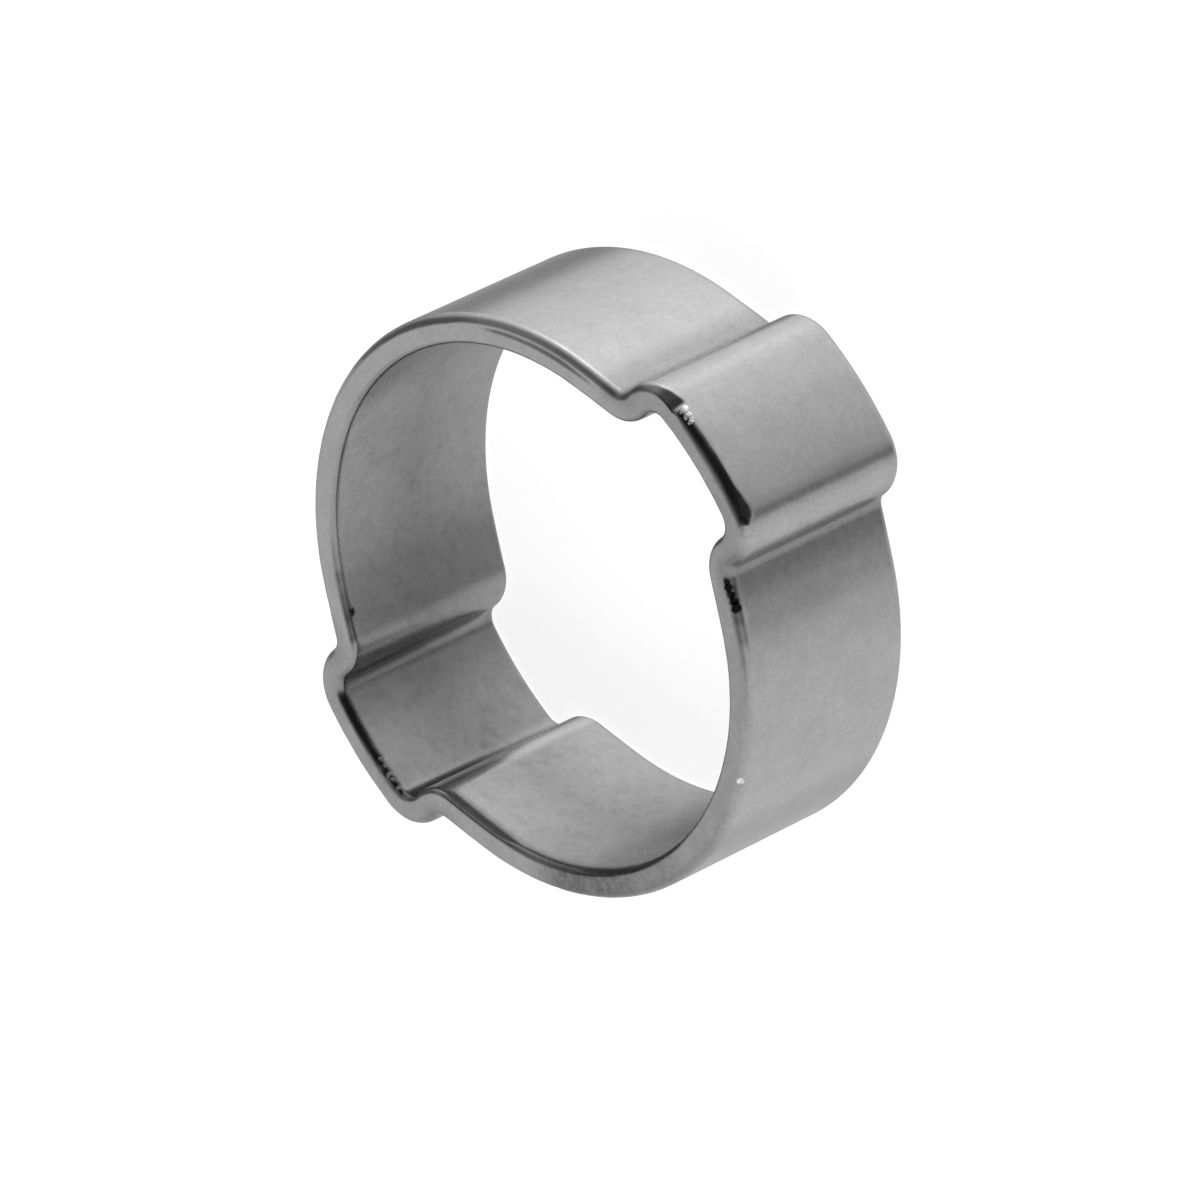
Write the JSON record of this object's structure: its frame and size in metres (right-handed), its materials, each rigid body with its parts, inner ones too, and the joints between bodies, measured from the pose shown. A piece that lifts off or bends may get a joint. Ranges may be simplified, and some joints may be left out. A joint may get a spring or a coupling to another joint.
{
  "type": "o-clip hose clamp",
  "caption": "Formed steel ring with low pinch ears on opposite sides that slips over a hose and is squeezed shut to clamp it on a spigot.",
  "frame": {"origin": "centre of the hose bore, on the end face that the ring lies on", "axes": "+Z along the bore, up from the end face it lies on; +X through the middle of one ear, -X through the other; +Y across the round part"},
  "size_m": [0.0304, 0.0256, 0.0091],
  "materials": {
    "band": "satin, tumbled and zinc-plated"
  },
  "bodies": {
    "root": {"band": "band"}
  },
  "joints": []
}
